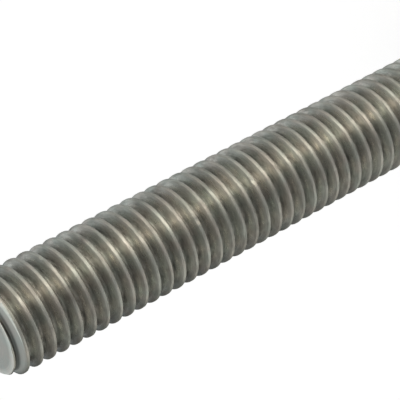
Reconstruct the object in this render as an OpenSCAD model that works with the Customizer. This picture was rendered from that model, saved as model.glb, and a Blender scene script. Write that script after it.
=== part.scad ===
// Stud bolt: a round steel bar with a metric thread over its whole length and a chamfer at each end.
// It stands on one end. The axis is Z, and the origin is the centre of the lower end face.

/* [Thread] */
// Outside diameter of the thread, over the crests
major_d = 10; // [6:0.5:24]
// Distance along the axis from one crest to the next
pitch = 1.5; // [1:0.25:3]
// Angle between the two flanks of a groove
flank_angle = 60; // [50:1:65]

/* [Stud] */
// Length from one end face to the other
stud_l = 60; // [20:1:90]

/* [Ends] */
// Slope of the chamfer, measured from the end face
chamfer_angle = 45; // [30:1:60]
// How far the end face's rim stays inside the bottom of the grooves
end_face_inset = 0.05; // [0.05:0.05:0.6]

/* [Fineness] */
// Number of straight steps in each turn of the thread
steps_per_turn = 32; // [16:1:36]

/* [Hidden] */

// Metric thread form: the crest flat is an eighth of the pitch, and the groove's bottom a sixth.
crest_flat = pitch / 8;
root_flat = pitch / 6;
flank_w = (pitch - crest_flat - root_flat) / 2;
thread_depth = flank_w / tan(flank_angle / 2);
major_r = major_d / 2;
root_r = major_r - thread_depth;

// One pitch of the thread in section, as [radius, height], from the foot of a groove's bottom.
thread_profile = [
    [root_r, 0],
    [root_r, root_flat],
    [major_r, root_flat + flank_w],
    [major_r, root_flat + flank_w + crest_flat],
];

// The helix runs whole turns past each end face, so that the faces cut it cleanly,
// and the middle of the groove's bottom crosses the lower face on the X axis.
spare_turns = 2;
turns = ceil(stud_l / pitch) + 2 * spare_turns;
helix_start = -spare_turns * pitch - root_flat / 2;

// The blank is a thread depth wider than the crests, so it trims the ends and nothing else.
blank_r = major_r + thread_depth;
end_face_r = root_r - end_face_inset;
chamfer_h = (blank_r - end_face_r) * tan(chamfer_angle);

// Right-hand helical sweep of a one-pitch profile, with one ring of points per step.
// A fan of faces to a point on the axis closes each end.
module helical_bar(profile, lead, turns, steps) {
    count = len(profile);
    last = turns * steps;
    sweep = [
        for (i = [0 : last])
            let (turn = i / steps, a = 360 * turn)
                for (p = profile) [p[0] * cos(a), p[0] * sin(a), p[1] + lead * turn]
    ];
    low_centre = len(sweep);
    high_centre = low_centre + 1;
    centres = [[0, 0, 0], [0, 0, lead * (turns + 1)]];

    // Index of profile point k at step i. The point after the last one is the next turn's first.
    function at(i, k) = k < count ? i * count + k : (i + steps) * count;

    // The last turn has no next turn, so its profile stops one point short.
    walls = [
        for (i = [0 : last - 1], k = [0 : i + steps < last ? count - 1 : count - 2])
            each [
                [at(i, k), at(i + 1, k + 1), at(i + 1, k)],
                [at(i, k), at(i, k + 1), at(i + 1, k + 1)],
            ]
    ];
    low_fan = [for (i = [0 : steps - 1]) [low_centre, at(i, 0), at(i + 1, 0)]];
    low_step = [for (k = [0 : count - 1]) [low_centre, at(0, k + 1), at(0, k)]];
    high_fan = [
        for (i = [last - steps : last - 1])
            [high_centre, at(i + 1, count - 1), at(i, count - 1)]
    ];
    high_step = [
        for (k = [0 : count - 2]) [high_centre, at(last, k), at(last, k + 1)],
        [high_centre, at(last - steps, count - 1), at(last, 0)],
    ];
    polyhedron(
        points = concat(sweep, centres),
        faces = concat(walls, low_fan, low_step, high_fan, high_step)
    );
}

// Plain bar with a flat face and a chamfer at each end. It sets where the thread stops.
module chamfered_bar() {
    rotate_extrude($fn = 96)
        polygon([
            [0, 0],
            [end_face_r, 0],
            [blank_r, chamfer_h],
            [blank_r, stud_l - chamfer_h],
            [end_face_r, stud_l],
            [0, stud_l],
        ]);
}

module stud() {
    color("darkgray")
        intersection() {
            translate([0, 0, helix_start])
                helical_bar(thread_profile, pitch, turns, steps_per_turn);
            chamfered_bar();
        }
}

stud();
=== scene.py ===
import math
import random

import bmesh
import bpy
from mathutils import Matrix, Vector, noise


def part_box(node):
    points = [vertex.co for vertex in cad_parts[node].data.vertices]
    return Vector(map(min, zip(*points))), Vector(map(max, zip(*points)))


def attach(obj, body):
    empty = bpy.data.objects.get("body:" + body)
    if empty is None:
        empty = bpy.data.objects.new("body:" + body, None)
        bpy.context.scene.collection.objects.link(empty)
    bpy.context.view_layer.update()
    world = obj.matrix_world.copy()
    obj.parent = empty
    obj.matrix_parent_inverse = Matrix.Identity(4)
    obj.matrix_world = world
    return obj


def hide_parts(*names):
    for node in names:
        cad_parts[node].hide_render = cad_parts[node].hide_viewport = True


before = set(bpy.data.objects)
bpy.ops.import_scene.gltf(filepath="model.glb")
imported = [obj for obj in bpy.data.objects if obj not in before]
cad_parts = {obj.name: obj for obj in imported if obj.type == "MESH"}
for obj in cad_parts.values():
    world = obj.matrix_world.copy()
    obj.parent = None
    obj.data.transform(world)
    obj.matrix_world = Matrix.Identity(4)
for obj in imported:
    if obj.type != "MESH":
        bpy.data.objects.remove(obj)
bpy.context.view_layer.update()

mm = 0.001


# short ways to add and join nodes, where a value is a number, a colour or another node's output
def emptyTree(owner):
    owner.use_nodes = True
    owner.node_tree.nodes.clear()
    return owner.node_tree


def addNode(tree, kind, place, **settings):
    node = tree.nodes.new("ShaderNode" + kind)
    node.location = place
    for name, value in settings.items():
        setattr(node, name, value)
    return node


def feed(tree, socket, value):
    if isinstance(value, bpy.types.NodeSocket):
        tree.links.new(value, socket)
    else:
        socket.default_value = value


def reckon(tree, place, operation, *values):
    node = addNode(tree, "Math", place, operation=operation)
    for socket, value in zip(node.inputs, values):
        feed(tree, socket, value)
    return node.outputs["Value"]


def reckonVector(tree, place, operation, *values):
    node = addNode(tree, "VectorMath", place, operation=operation)
    for socket, value in zip(node.inputs, values):
        feed(tree, socket, value)
    return node.outputs["Value" if operation in ("LENGTH", "DISTANCE") else "Vector"]


def dimColour(tree, place, colour, level):
    node = addNode(tree, "VectorMath", place, operation="SCALE")
    feed(tree, node.inputs[0], colour)
    feed(tree, node.inputs["Scale"], level)
    return node.outputs["Vector"]


def remap(tree, place, value, span=(0, 1), result=(0, 1), **settings):
    # numbers over one span become numbers over another, and stop at its ends
    node = addNode(tree, "MapRange", place, **settings)
    for socket, number in zip(node.inputs, (value, *span, *result)):
        feed(tree, socket, number)
    return node.outputs["Result"]


def mix(tree, place, share, first, second, colour=False):
    node = addNode(tree, "Mix", place, data_type="RGBA" if colour else "FLOAT")
    kind = "RGBA" if colour else "VALUE"
    ends = [socket for socket in node.inputs if socket.type == kind and socket.name in ("A", "B")]
    for socket, value in zip([node.inputs["Factor"]] + ends, (share, first, second)):
        feed(tree, socket, value)
    return next(socket for socket in node.outputs if socket.type == kind)


def ramp(tree, place, value, stops):
    node = addNode(tree, "ValToRGB", place)
    feed(tree, node.inputs["Fac"], value)
    elements = node.color_ramp.elements
    elements.remove(elements[1])
    first, *others = stops.items()
    elements[0].position, elements[0].color = first
    for position, colour in others:
        elements.new(position).color = colour
    return node.outputs["Color"]


def direction(azimuth, above):
    # away from the stud, by degrees round it (0 is toward -Y) and degrees up
    turn, rise = math.radians(azimuth), math.radians(above)
    return Vector((math.sin(turn) * math.cos(rise), -math.cos(turn) * math.cos(rise), math.sin(rise)))


cameraView = {
    "aim": (1.17 * mm, 1.07 * mm, 34.06 * mm),  # the point in the middle of the view
    "azimuth": 42.589,  # degrees round the stud, 0 looks along +Y
    "elevation": 27.814,
    "roll": -117.744,  # so that the standing stud lies across the view
    "distance": 174.24 * mm,
    "lens": 159.34,  # in millimetres, as the sensor is
    "sensor": 36,
    "nearest": 5 * mm,
    "farthest": 20000 * mm,
}


def makeCamera(view):
    data = bpy.data.cameras.new("studCamera")
    data.lens = view["lens"]
    data.sensor_width = view["sensor"]
    data.clip_start, data.clip_end = view["nearest"], view["farthest"]
    camera = bpy.data.objects.new("studCamera", data)
    bpy.context.scene.collection.objects.link(camera)
    back = direction(view["azimuth"], view["elevation"])
    turn = (-back).to_track_quat("-Z", "Y").to_matrix().to_4x4()
    roll = Matrix.Rotation(math.radians(view["roll"]), 4, "Z")
    camera.matrix_world = Matrix.Translation(Vector(view["aim"]) + back * view["distance"]) @ turn @ roll
    bpy.context.scene.camera = camera


makeCamera(cameraView)
print("camera placed")

lowCorner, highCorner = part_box("stud")
stud = {
    "length": highCorner.z - lowCorner.z,
    "radius": (highCorner.x - lowCorner.x) / 2,
    "pitch": 1.5 * mm,
    "depth": 0.92 * mm,
    "flankLean": 28.5,  # degrees, each side of the groove
    "endFaceRadius": 4.34 * mm,
    "chamferLean": 35,  # degrees from the stud's axis
    "crestFlat": 0.34 * mm,  # before rounding; it is worn, so wider than an eighth of the pitch
    "crestRounding": 0.12 * mm,
    "rootRounding": 0.13 * mm,
    "roundingMiddle": 30,  # degrees along a rounding, where the point between its two ends lies
    "threadShift": -0.07 * mm,  # how far up the stud the whole thread is moved
    "stepsPerTurn": 112,
    "spareTurns": 2,  # made beyond each end and then cut away
    "crestWear": 0.007 * mm,  # how far the crest wanders in and out
    "wearLength": 2.2 * mm,  # and over what distance
    "wearFrom": 0.6,  # wear fades out at this share of the thread's depth
    "dents": 26,
    "dentDepth": 0.09 * mm,
    "dentReach": 0.35 * mm,
    "smallestDent": 0.5,  # as a share of dentReach
    "dentWander": 0.1 * mm,  # how far a dent lies off the middle of the crest
    "seed": 4,
}


def halfProfile(size):
    # one side of the groove, from the middle of its bottom to the middle of the crest, as (along, outward)
    halfPitch, depth = size["pitch"] / 2, size["depth"]
    lean = math.radians(size["flankLean"])
    rootRound, crestRound = size["rootRounding"], size["crestRounding"]
    crestCorner = halfPitch - size["crestFlat"] / 2
    rootCorner = crestCorner - depth * math.tan(lean)
    corner = math.tan((math.pi / 2 - lean) / 2)  # from a corner to where its rounding starts, for radius 1
    turns = [math.radians(turn) for turn in (0, size["roundingMiddle"], 90 - size["flankLean"])]
    bends = [(math.sin(turn), 1 - math.cos(turn)) for turn in turns]
    root = [(rootCorner - rootRound * (corner - sine), rootRound * rise) for sine, rise in bends]
    crest = [(crestCorner + crestRound * (corner - sine), depth - crestRound * rise)
             for sine, rise in reversed(bends)]
    flank = [tuple(low + (high - low) * share for low, high in zip(root[-1], crest[0]))
             for share in (1 / 3, 2 / 3)]
    return [(0, 0)] + root + flank + crest + [(halfPitch, depth)]


def makeDents(size):
    # small nicks along the crest, each as its middle and its reach
    chance = random.Random(size["seed"])
    dents = []
    for _ in range(size["dents"]):
        angle = chance.uniform(0, 2 * math.pi)
        turn = chance.randrange(1, int(size["length"] / size["pitch"]) - 1)
        wander = chance.uniform(-1, 1) * size["dentWander"]
        z = (turn + 0.5 + angle / (2 * math.pi)) * size["pitch"] + wander
        middle = Vector((size["radius"] * math.cos(angle), size["radius"] * math.sin(angle), z))
        dents.append((middle, size["dentReach"] * chance.uniform(size["smallestDent"], 1)))
    return dents


def wornBy(size, dents, point, out):
    # how far a point near the crest is pressed in, by handling wear and by the dents
    near = max(0, min(1, (out / size["depth"] - size["wearFrom"]) / (1 - size["wearFrom"])))
    if near == 0:
        return 0
    wear = size["crestWear"] * (0.5 + noise.noise(point / size["wearLength"]))
    for middle, reach in dents:
        away = (point - middle).length / reach
        if away < 1:
            wear += size["dentDepth"] * (1 - away * away)
    return near * wear


def threadRows(shape, size, profile):
    # the profile repeated up the helix, a row of points for each step, kept inside the chamfers
    dents = makeDents(size)
    steps, pitch, length = size["stepsPerTurn"], size["pitch"], size["length"]
    rootRadius = size["radius"] - size["depth"]
    chamferRise = math.tan(math.radians(size["chamferLean"]))
    turns = math.ceil(length / pitch) + 2 * size["spareTurns"]
    rows = []
    for i in range(turns * steps + 1):
        angle = 2 * math.pi * i / steps
        cosine, sine = math.cos(angle), math.sin(angle)
        row = []
        for along, out in profile:
            z = (i / steps - size["spareTurns"]) * pitch + along + size["threadShift"]
            radius = rootRadius + out
            unworn = Vector((radius * cosine, radius * sine, z))
            radius -= wornBy(size, dents, unworn, out)
            radius = min(radius, size["endFaceRadius"] + min(z, length - z) * chamferRise)
            row.append(shape.verts.new((radius * cosine, radius * sine, z)))
        rows.append(row)
    return rows


def skinThread(shape, size, profile, rows):
    # faces between the rows; their UV is the way along the thread and across it, in millimetres
    steps, last = size["stepsPerTurn"], len(profile) - 1
    uvLayer = shape.loops.layers.uv["alongThread"]
    stepLength = 2 * math.pi * (size["radius"] - size["depth"] / 2) / steps
    across = [0]
    for before, after in zip(profile, profile[1:] + [(size["pitch"], 0)]):
        across.append(across[-1] + math.hypot(after[0] - before[0], after[1] - before[1]))
    for i in range(len(rows) - 1):
        for k in range(last + 1):
            if k < last:
                corners = (rows[i][k], rows[i + 1][k], rows[i + 1][k + 1], rows[i][k + 1])
            elif i + 1 + steps < len(rows):
                # the top of one turn joins the bottom of the next
                corners = (rows[i][k], rows[i + 1][k], rows[i + 1 + steps][0], rows[i + steps][0])
            else:
                continue
            face = shape.faces.new(corners)
            places = ((i, k), (i + 1, k), (i + 1, k + 1), (i, k + 1))
            for loop, (step, place) in zip(face.loops, places):
                loop[uvLayer].uv = (step * stepLength / mm, across[place] / mm)


def cutEnds(shape, size):
    # the spare turns come off square at both ends, and each cut is closed by a flat face
    onCut = 0.001 * mm  # a point this near lies on the cut
    for height, outward in ((0, -1), (size["length"], 1)):
        everything = list(shape.verts) + list(shape.edges) + list(shape.faces)
        bmesh.ops.bisect_plane(shape, geom=everything, dist=onCut / 10, plane_co=(0, 0, height),
                               plane_no=(0, 0, outward), clear_outer=True)
        rim = [edge for edge in shape.edges if edge.is_boundary
               and all(abs(vert.co.z - height) < onCut for vert in edge.verts)]
        bmesh.ops.contextual_create(shape, geom=rim)


def makeStud(size):
    rising = halfProfile(size)
    falling = [(size["pitch"] - along, out) for along, out in reversed(rising[1:-1])]
    profile = rising + falling
    shape = bmesh.new()
    shape.loops.layers.uv.new("alongThread")
    skinThread(shape, size, profile, threadRows(shape, size, profile))
    cutEnds(shape, size)
    bmesh.ops.recalc_face_normals(shape, faces=shape.faces)
    mesh = bpy.data.meshes.new("threadedStud")
    shape.to_mesh(mesh)
    shape.free()
    for face in mesh.polygons:
        face.use_smooth = True
    piece = bpy.data.objects.new("threadedStud", mesh)
    bpy.context.scene.collection.objects.link(piece)
    return piece


steel = {
    # colour by height, 0 at the bottom of the groove and 1 at the crest: painted shade low in the groove and
    # painted light up the flanks
    "shades": {
        0.0: (0.265, 0.263, 0.241, 1),
        0.05: (0.25, 0.248, 0.228, 1),
        0.18: (0.225, 0.223, 0.205, 1),
        0.33: (0.295, 0.292, 0.268, 1),
        0.5: (0.345, 0.342, 0.314, 1),
        0.72: (0.305, 0.302, 0.278, 1),
        0.88: (0.3, 0.297, 0.273, 1),
        1.0: (0.234, 0.232, 0.217, 1),
    },
    # patches of a millimetre or two, from olive to pink by the noise's level
    "tints": {0.38: (0.97, 1.008, 0.985, 1), 0.62: (1.04, 0.993, 0.965, 1)},
    "tintScale": 550,  # per metre
    "tintDetail": 3,
    "edgeTint": (0.35, 0.35, 0.35, 1),  # reflections at a glancing angle are held back
    "metallic": 0.85,
    # marks along the thread: broad mottling, finer streaks and a fine grain
    "marks": {
        "mottle": {"scale": (0.38, 1.2, 1), "detail": 6, "level": (-0.62, 0.62)},
        "streak": {"scale": (0.8, 4.5, 1), "detail": 3, "level": (-0.24, 0.24)},
        "grain": {"scale": (9, 30, 1), "detail": 2, "level": (-0.1, 0.1)},
    },
    "markRoughness": 0.65,  # how much of the finer noise comes in
    "noiseSpan": (0.25, 0.75),  # noise seldom goes outside this
    "crestMarks": 0.42,  # how strong the marks are on the crest, against 1 in the groove
    # larger stains: degrees round the stud, height, reach, and how much lighter or darker
    "stains": [
        (-19, 35.4 * mm, 1.0 * mm, -0.42),
        (-77, 55.2 * mm, 1.0 * mm, -0.42),
        (-35, 27.9 * mm, 1.0 * mm, -0.36),
        (-56, 53.2 * mm, 1.2 * mm, -0.42),
        (-3, 48.6 * mm, 0.9 * mm, -0.4),
        (-45, 52.7 * mm, 0.8 * mm, -0.34),
        (-32, 18.0 * mm, 1.0 * mm, 0.5),
        (-19, 52.6 * mm, 1.0 * mm, 0.5),
        (-36, 57.0 * mm, 0.9 * mm, 0.45),
        (-30, 46.2 * mm, 1.0 * mm, 0.45),
    ],
    "roughness": (0.36, 0.24),  # on the darkest and on the lightest marks
    "glossMarks": (-0.25, 0.25),  # marks this dark and this light count as those
    "crestRoughness": 0.17,  # so much more on the crest
    "crestFrom": (0.6, 0.95),  # height where the crest's own finish starts and is full
    "rootRoughness": 0.26,  # so much more in the bottom of the groove
    "rootFrom": (0.3, 0.1),
    "streaked": 0.95,  # how much more a reflection spreads along the stud than round it
    "crestStreaked": 0.3,
    "streakTurn": 0.25,  # a quarter turn from the way along the thread
    "bumpDepth": 0.004 * mm,
}

# the two ends were cut and dressed, so they are lighter and plainer than the rolled thread; the first
# thread's side near each end shares their colour as painted light, and the end face has a painted highlight
# toward its rim
dressed = {
    "colour": (0.48, 0.505, 0.49),
    "middleLevel": 1.12,  # brightness in the middle of the end face
    "paintedRimHighlight": 1.75,  # and at its rim, as a painted highlight
    "rimFrom": (0.72, 0.86),  # shares of the stud's radius where that change starts and ends
    "paintedFirstFlankLight": 1.1,  # painted light on the side of the first thread, which faces out of the end
    "offCut": (0.04 * mm, 0.1 * mm),  # this far below the cut, a surface is the thread's own
    "reach": (1.2 * mm, 0.95 * mm),  # from each end, where the dressing starts and is full
    "facing": (0.25, 0.6),  # how squarely a surface has to look out of the end
    "gapLevel": 0.4,  # the groove just behind each end face is in shade
    "gapHeight": (0.42, 0.22),  # height in the groove where that shade starts and is full
    "ringScale": 9000,  # faint turning rings, per metre
    "ringDetail": 2,
    "ringLevel": (0.9, 1.1),
    "roughness": 0.7,
    "metallic": 0.15,
}


def threadMarks(tree, look):
    # how much lighter or darker each spot is, about zero
    along = addNode(tree, "UVMap", (-1400, -300), uv_map="alongThread").outputs["UV"]
    total = None
    for row, kind in enumerate(look["marks"].values()):
        y = -200 - 250 * row
        pattern = addNode(tree, "TexNoise", (-1000, y), noise_dimensions="2D")
        feed(tree, pattern.inputs["Vector"], reckonVector(tree, (-1200, y), "MULTIPLY", along, kind["scale"]))
        pattern.inputs["Scale"].default_value = 1
        pattern.inputs["Detail"].default_value = kind["detail"]
        pattern.inputs["Roughness"].default_value = look["markRoughness"]
        level = remap(tree, (-800, y), pattern.outputs["Fac"], look["noiseSpan"], kind["level"])
        total = level if total is None else reckon(tree, (-600, y), "ADD", total, level)
    return total


def addStains(tree, look, size, position, level):
    # each stain multiplies the brightness, most at its middle
    for row, (around, up, reach, change) in enumerate(look["stains"]):
        turn, y = math.radians(around), -1000 - 200 * row
        middle = (size["radius"] * math.cos(turn), size["radius"] * math.sin(turn), up)
        away = reckonVector(tree, (-1200, y), "DISTANCE", position, middle)
        spot = remap(tree, (-1000, y), away, (0, reach), (1 + change, 1), interpolation_type="SMOOTHSTEP")
        level = reckon(tree, (-800, y), "MULTIPLY", level, spot)
    return level


def warmAndCool(tree, look, position):
    patch = addNode(tree, "TexNoise", (-1000, 500))
    feed(tree, patch.inputs["Vector"], position)
    patch.inputs["Scale"].default_value = look["tintScale"]
    patch.inputs["Detail"].default_value = look["tintDetail"]
    return ramp(tree, (-600, 500), patch.outputs["Fac"], look["tints"])


def findEnds(tree, ends, size, where, out):
    # three masks: near either end, facing out of it (the dressed end, and the first thread's side, which gets
    # painted light), and below the cut on the thread's own surface
    halfLength = size["length"] / 2
    up = addNode(tree, "SeparateXYZ", (-1200, 900))
    feed(tree, up.inputs[0], where.outputs["Object"])
    overMiddle = reckon(tree, (-1000, 900), "SUBTRACT", up.outputs["Z"], halfLength)
    fromMiddle = reckon(tree, (-800, 900), "ABSOLUTE", overMiddle)
    nearEnd = remap(tree, (-600, 900), fromMiddle, [halfLength - reach for reach in ends["reach"]])
    facing = addNode(tree, "SeparateXYZ", (-1200, 1150))
    feed(tree, facing.inputs[0], where.outputs["Normal"])
    side = reckon(tree, (-1000, 1350), "SIGN", overMiddle)
    outward = reckon(tree, (-1000, 1150), "MULTIPLY", facing.outputs["Z"], side)
    facesOut = remap(tree, (-800, 1150), outward, ends["facing"])
    cut = reckon(tree, (-400, 1000), "MULTIPLY", nearEnd, facesOut)
    # with the chamfer's own drop added back, end face and chamfer both lie level with the end
    overRim = reckon(tree, (-1000, 700), "SUBTRACT", out, size["endFaceRadius"])
    beyondRim = reckon(tree, (-800, 700), "MAXIMUM", overRim, 0)
    steepness = 1 / math.tan(math.radians(size["chamferLean"]))
    level = reckon(tree, (-600, 600), "MULTIPLY_ADD", beyondRim, steepness, fromMiddle)
    below = remap(tree, (-400, 700), level, [halfLength - gap for gap in ends["offCut"]])
    return nearEnd, cut, below


def dressedColourAndPaintedLight(tree, ends, size, out, tint, below):
    # a painted highlight toward the rim, with faint turning rings
    rimFrom = [share * size["radius"] for share in ends["rimFrom"]]
    rimHighlighted = remap(tree, (-600, 800), out, rimFrom, (ends["middleLevel"], ends["paintedRimHighlight"]))
    level = mix(tree, (-200, 700), below, rimHighlighted, ends["paintedFirstFlankLight"])
    rings = addNode(tree, "TexNoise", (-600, 1300), noise_dimensions="1D")
    feed(tree, rings.inputs["W"], out)
    rings.inputs["Scale"].default_value = ends["ringScale"]
    rings.inputs["Detail"].default_value = ends["ringDetail"]
    ringLevel = remap(tree, (-400, 1300), rings.outputs["Fac"], (0, 1), ends["ringLevel"])
    ringed = reckon(tree, (-200, 1100), "MULTIPLY", level, ringLevel)
    tinted = reckonVector(tree, (-200, 900), "MULTIPLY", tint, ends["colour"])
    return dimColour(tree, (0, 800), tinted, ringed)


def setGloss(tree, look, ends, shader, marks, height, cut):
    # light marks are smoother; the crest, the bottom of the groove and the dressed ends are rougher
    rough = remap(tree, (200, -200), marks, look["glossMarks"], look["roughness"])
    inRoot = remap(tree, (200, -700), height, look["rootFrom"])
    rough = reckon(tree, (400, -700), "MULTIPLY_ADD", inRoot, look["rootRoughness"], rough)
    onCrest = remap(tree, (200, -450), height, look["crestFrom"])
    rough = reckon(tree, (400, -350), "MULTIPLY_ADD", onCrest, look["crestRoughness"], rough)
    feed(tree, shader.inputs["Roughness"], mix(tree, (600, -200), cut, rough, ends["roughness"]))
    streaked = remap(tree, (400, -550), onCrest, (0, 1), (look["streaked"], look["crestStreaked"]))
    feed(tree, shader.inputs["Anisotropic"], mix(tree, (600, -550), cut, streaked, 0))
    metallic = remap(tree, (800, 150), cut, (0, 1), (look["metallic"], ends["metallic"]))
    feed(tree, shader.inputs["Metallic"], metallic)
    along = addNode(tree, "Tangent", (800, -500), direction_type="UV_MAP", uv_map="alongThread")
    feed(tree, shader.inputs["Tangent"], along.outputs["Tangent"])
    shader.inputs["Anisotropic Rotation"].default_value = look["streakTurn"]
    shader.inputs["Specular Tint"].default_value = look["edgeTint"]
    relief = addNode(tree, "Bump", (800, -250))
    relief.inputs["Distance"].default_value = look["bumpDepth"]
    feed(tree, relief.inputs["Height"], marks)
    feed(tree, shader.inputs["Normal"], relief.outputs["Normal"])


def makeSteel(look, ends, size):
    material = bpy.data.materials.new("rolledSteel")
    tree = emptyTree(material)
    shader = addNode(tree, "BsdfPrincipled", (1100, 0))
    output = addNode(tree, "OutputMaterial", (1400, 0))
    feed(tree, output.inputs["Surface"], shader.outputs["BSDF"])

    where = addNode(tree, "TexCoord", (-1400, 200))
    position = where.outputs["Object"]
    flat = reckonVector(tree, (-1200, 200), "MULTIPLY", position, (1, 1, 0))
    out = reckonVector(tree, (-1000, 200), "LENGTH", flat)
    height = remap(tree, (-800, 200), out, (size["radius"] - size["depth"], size["radius"]))

    # the rolled thread, with painted shade and light by height in the groove
    shade = ramp(tree, (-600, 200), height, look["shades"])
    marks = threadMarks(tree, look)
    strength = remap(tree, (-400, -50), height, (0, 1), (1, look["crestMarks"]))
    level = reckon(tree, (-200, -100), "MULTIPLY_ADD", marks, strength, 1)
    level = addStains(tree, look, size, position, level)
    tint = warmAndCool(tree, look, position)
    tinted = reckonVector(tree, (-200, 300), "MULTIPLY", shade, tint)
    rolled = dimColour(tree, (0, 200), tinted, level)

    # the dressed ends with painted light on the first thread's side, and the shade in the groove behind each
    # end face
    nearEnd, cut, below = findEnds(tree, ends, size, where, out)
    dressedEndAndPaintedLight = dressedColourAndPaintedLight(tree, ends, size, out, tint, below)
    both = mix(tree, (200, 500), cut, rolled, dressedEndAndPaintedLight, colour=True)
    deep = remap(tree, (-400, 400), height, ends["gapHeight"])
    groove = reckon(tree, (-200, 400), "MULTIPLY", deep, below)
    gap = reckon(tree, (0, 600), "MULTIPLY", nearEnd, groove)
    gapLevel = remap(tree, (200, 700), gap, (0, 1), (1, ends["gapLevel"]))
    feed(tree, shader.inputs["Base Color"], dimColour(tree, (600, 400), both, gapLevel))

    setGloss(tree, look, ends, shader, marks, height, cut)
    return material


threadedStud = makeStud(stud)
print("stud made:", len(threadedStud.data.polygons), "faces")
threadedStud.data.materials.append(makeSteel(steel, dressed, stud))
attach(threadedStud, "root")
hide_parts("stud")
print("steel put on")

studio = {
    "floorSize": 6.0,
    "floorColour": (0.85, 0.85, 0.85, 1),
    "floorGlow": 0.6,  # lifts the floor to white where it is background
    "worldLevel": 0.6,  # plain light from all round
}


def backgroundRays(tree, place):
    # 1 for a ray that comes straight from the camera, or by way of metal or glass
    x, y = place
    path = addNode(tree, "LightPath", place)
    most = reckon(tree, (x + 200, y), "MAXIMUM", path.outputs["Is Camera Ray"], path.outputs["Is Glossy Ray"])
    return reckon(tree, (x + 400, y), "MAXIMUM", most, path.outputs["Is Transmission Ray"])


def makeFloor(look):
    half = look["floorSize"] / 2
    corners = [(-half, -half, 0), (half, -half, 0), (half, half, 0), (-half, half, 0)]
    mesh = bpy.data.meshes.new("floor")
    mesh.from_pydata(corners, [], [(0, 1, 2, 3)])
    floor = bpy.data.objects.new("floor", mesh)
    bpy.context.scene.collection.objects.link(floor)
    material = bpy.data.materials.new("whiteSheet")
    tree = emptyTree(material)
    paper = addNode(tree, "BsdfDiffuse", (300, 100))
    paper.inputs["Color"].default_value = look["floorColour"]
    glow = addNode(tree, "Emission", (300, -100))
    rays = backgroundRays(tree, (-400, -200))
    feed(tree, glow.inputs["Strength"], reckon(tree, (200, -300), "MULTIPLY", rays, look["floorGlow"]))
    both = addNode(tree, "AddShader", (600, 0))
    feed(tree, both.inputs[0], paper.outputs["BSDF"])
    feed(tree, both.inputs[1], glow.outputs["Emission"])
    output = addNode(tree, "OutputMaterial", (800, 0))
    feed(tree, output.inputs["Surface"], both.outputs["Shader"])
    mesh.materials.append(material)


def makeWorld(look):
    world = bpy.data.worlds.new("studioWorld")
    bpy.context.scene.world = world
    tree = emptyTree(world)
    sky = addNode(tree, "Background", (300, 0))
    level = remap(tree, (0, 0), backgroundRays(tree, (-600, 0)), (0, 1), (look["worldLevel"], 1))
    feed(tree, sky.inputs["Strength"], level)
    output = addNode(tree, "OutputWorld", (600, 0))
    feed(tree, output.inputs["Surface"], sky.outputs["Background"])


def fromCamera(around, above=0):
    # a direction from the stud, turned from the camera's own azimuth; plus is clockwise from above
    return direction(cameraView["azimuth"] - around, above)


softbox = {
    "around": -60,
    "above": 70,
    "aimHeight": 30 * mm,  # half way up the stud
    "distance": 240 * mm,
    "width": 100 * mm,
    "level": 0.5,
}


def makeSoftbox(lamp):
    data = bpy.data.lights.new("topSoftbox", "AREA")
    data.shape = "SQUARE"
    data.size = lamp["width"]
    data.energy = lamp["level"] * math.pi * lamp["width"] ** 2
    light = bpy.data.objects.new("topSoftbox", data)
    bpy.context.scene.collection.objects.link(light)
    toward = fromCamera(lamp["around"], lamp["above"])
    light.location = toward * lamp["distance"] + Vector((0, 0, lamp["aimHeight"]))
    light.rotation_euler = toward.to_track_quat("Z", "Y").to_euler()
    light.visible_camera = False


tent = {
    "reach": 250 * mm,
    # rings on the table, by their share of the reach, with the height in degrees that sets their shade
    "tableRings": {0.048: -60, 0.3: -30, 1: -30},
    "lift": 0.2 * mm,  # over the floor
    "aroundSteps": 240,
    "upSteps": 60,
    # how bright the tent is by the degrees round from the camera, where (1, 1, 1) is the plain white sheet
    "around": {
        -180: (1.42, 1.5, 1.6),
        -130: (1.6, 1.67, 1.71),
        -95: (1.06, 1.08, 1.05),
        -75: (1.2, 1.2, 1.14),
        -56: (1.75, 1.7, 1.56),
        -42: (2.15, 2.06, 1.85),
        -36: (3.4, 3.2, 2.8),
        -30: (5.0, 4.72, 4.14),
        -22: (5.0, 4.72, 4.14),
        -14: (2.2, 2.1, 1.85),
        -6: (1.3, 1.28, 1.19),
        6: (0.97, 0.97, 0.93),
        25: (0.65, 0.65, 0.65),
        42: (0.7, 0.7, 0.69),
        70: (0.75, 0.75, 0.71),
        100: (0.85, 0.86, 0.81),
        122: (0.95, 0.96, 0.91),
        138: (0.38, 0.39, 0.39),
        180: (0.2, 0.2, 0.2),
    },
    "dimFrom": 15,  # degrees up, where the tent starts to turn darker
    "dimTo": 75,
    "overhead": 0.35,
    # cards hung in it: where each stands and how far it reaches, in degrees, and what it adds or takes away
    "cards": {
        "behind": {"around": 180, "halfWidth": 20, "above": 26, "halfHeight": 18, "edge": 10,
                   "change": (0.3, 0.35, 0.4)},  # cool, for the upper end face
        "beside": {"around": 92, "halfWidth": 42, "above": -45, "halfHeight": 30, "edge": 20,
                   "change": (0.85, 0.85, 0.8)},  # lies on the table, for the crests
        "aside": {"around": -50, "halfWidth": 16, "above": 28, "halfHeight": 12, "edge": 12,
                  "change": (0.9, 0.85, 0.75)},
        "leftAbove": {"around": -125, "halfWidth": 45, "above": 58, "halfHeight": 25, "edge": 20,
                      "change": (-0.19, -0.19, -0.17)},  # this and the next are for the upper flanks
        "rightAbove": {"around": 130, "halfWidth": 45, "above": 68, "halfHeight": 20, "edge": 15,
                       "change": (0.18, 0.18, 0.17)},
    },
}


def ease(share):
    share = min(1, max(0, share))
    return share * share * (3 - 2 * share)


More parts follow.
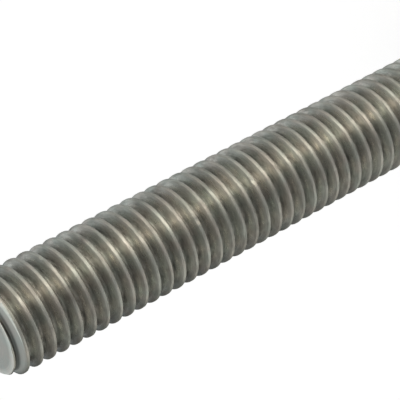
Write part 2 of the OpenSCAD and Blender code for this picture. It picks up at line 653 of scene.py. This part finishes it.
def tentShade(look, around, above):
    stops = list(look["around"].items())
    for (low, lowShade), (high, highShade) in zip(stops, stops[1:]):
        if low <= around <= high:
            share = (around - low) / (high - low)
            shade = [first + (second - first) * share for first, second in zip(lowShade, highShade)]
    dim = ease((above - look["dimFrom"]) / (look["dimTo"] - look["dimFrom"]))
    shade = [level * (1 + (look["overhead"] - 1) * dim) for level in shade]
    for card in look["cards"].values():
        away = abs((around - card["around"] + 180) % 360 - 180)
        lit = ease((card["halfWidth"] - away) / card["edge"] + 0.5)
        lit *= ease((card["halfHeight"] - abs(above - card["above"])) / card["edge"] + 0.5)
        shade = [level + change * lit for level, change in zip(shade, card["change"])]
    return shade + [1]


def makeTent(look):
    # light and dark cards on the table and overhead, which only the stud's reflections see
    lift = Vector((0, 0, look["lift"]))
    points, faces, shades = [], [], []
    for turn in range(look["aroundSteps"]):
        around = 360 * turn / look["aroundSteps"] - 180
        for share, above in look["tableRings"].items():
            points.append(fromCamera(around) * share * look["reach"] + lift)
            shades.extend(tentShade(look, around, above))
        for step in range(look["upSteps"] + 1):
            above = 90 * step / look["upSteps"]
            points.append(fromCamera(around, above) * look["reach"] + lift)
            shades.extend(tentShade(look, around, above))
    onTable = len(look["tableRings"])
    column = onTable + look["upSteps"] + 1
    for turn in range(look["aroundSteps"]):
        here, after = turn * column, (turn + 1) % look["aroundSteps"] * column
        for row in range(column - 1):
            if row != onTable - 1:  # the last table ring and the wall's foot are the same place
                faces.append((here + row, here + row + 1, after + row + 1, after + row))
    mesh = bpy.data.meshes.new("tent")
    mesh.from_pydata(points, [], faces)
    mesh.color_attributes.new("shade", "FLOAT_COLOR", "POINT").data.foreach_set("color", shades)
    cards = bpy.data.objects.new("tent", mesh)
    bpy.context.scene.collection.objects.link(cards)
    material = bpy.data.materials.new("tentCards")
    tree = emptyTree(material)
    glow = addNode(tree, "Emission", (200, 0))
    shade = addNode(tree, "Attribute", (0, 0), attribute_name="shade")
    feed(tree, glow.inputs["Color"], shade.outputs["Color"])
    output = addNode(tree, "OutputMaterial", (400, 0))
    feed(tree, output.inputs["Surface"], glow.outputs["Emission"])
    mesh.materials.append(material)
    cards.visible_camera = False
    cards.visible_diffuse = False
    cards.visible_shadow = False
    cards.visible_transmission = False


makeTent(tent)
makeSoftbox(softbox)
makeFloor(studio)
makeWorld(studio)
bpy.context.scene.view_settings.view_transform = "Standard"
print("studio made")
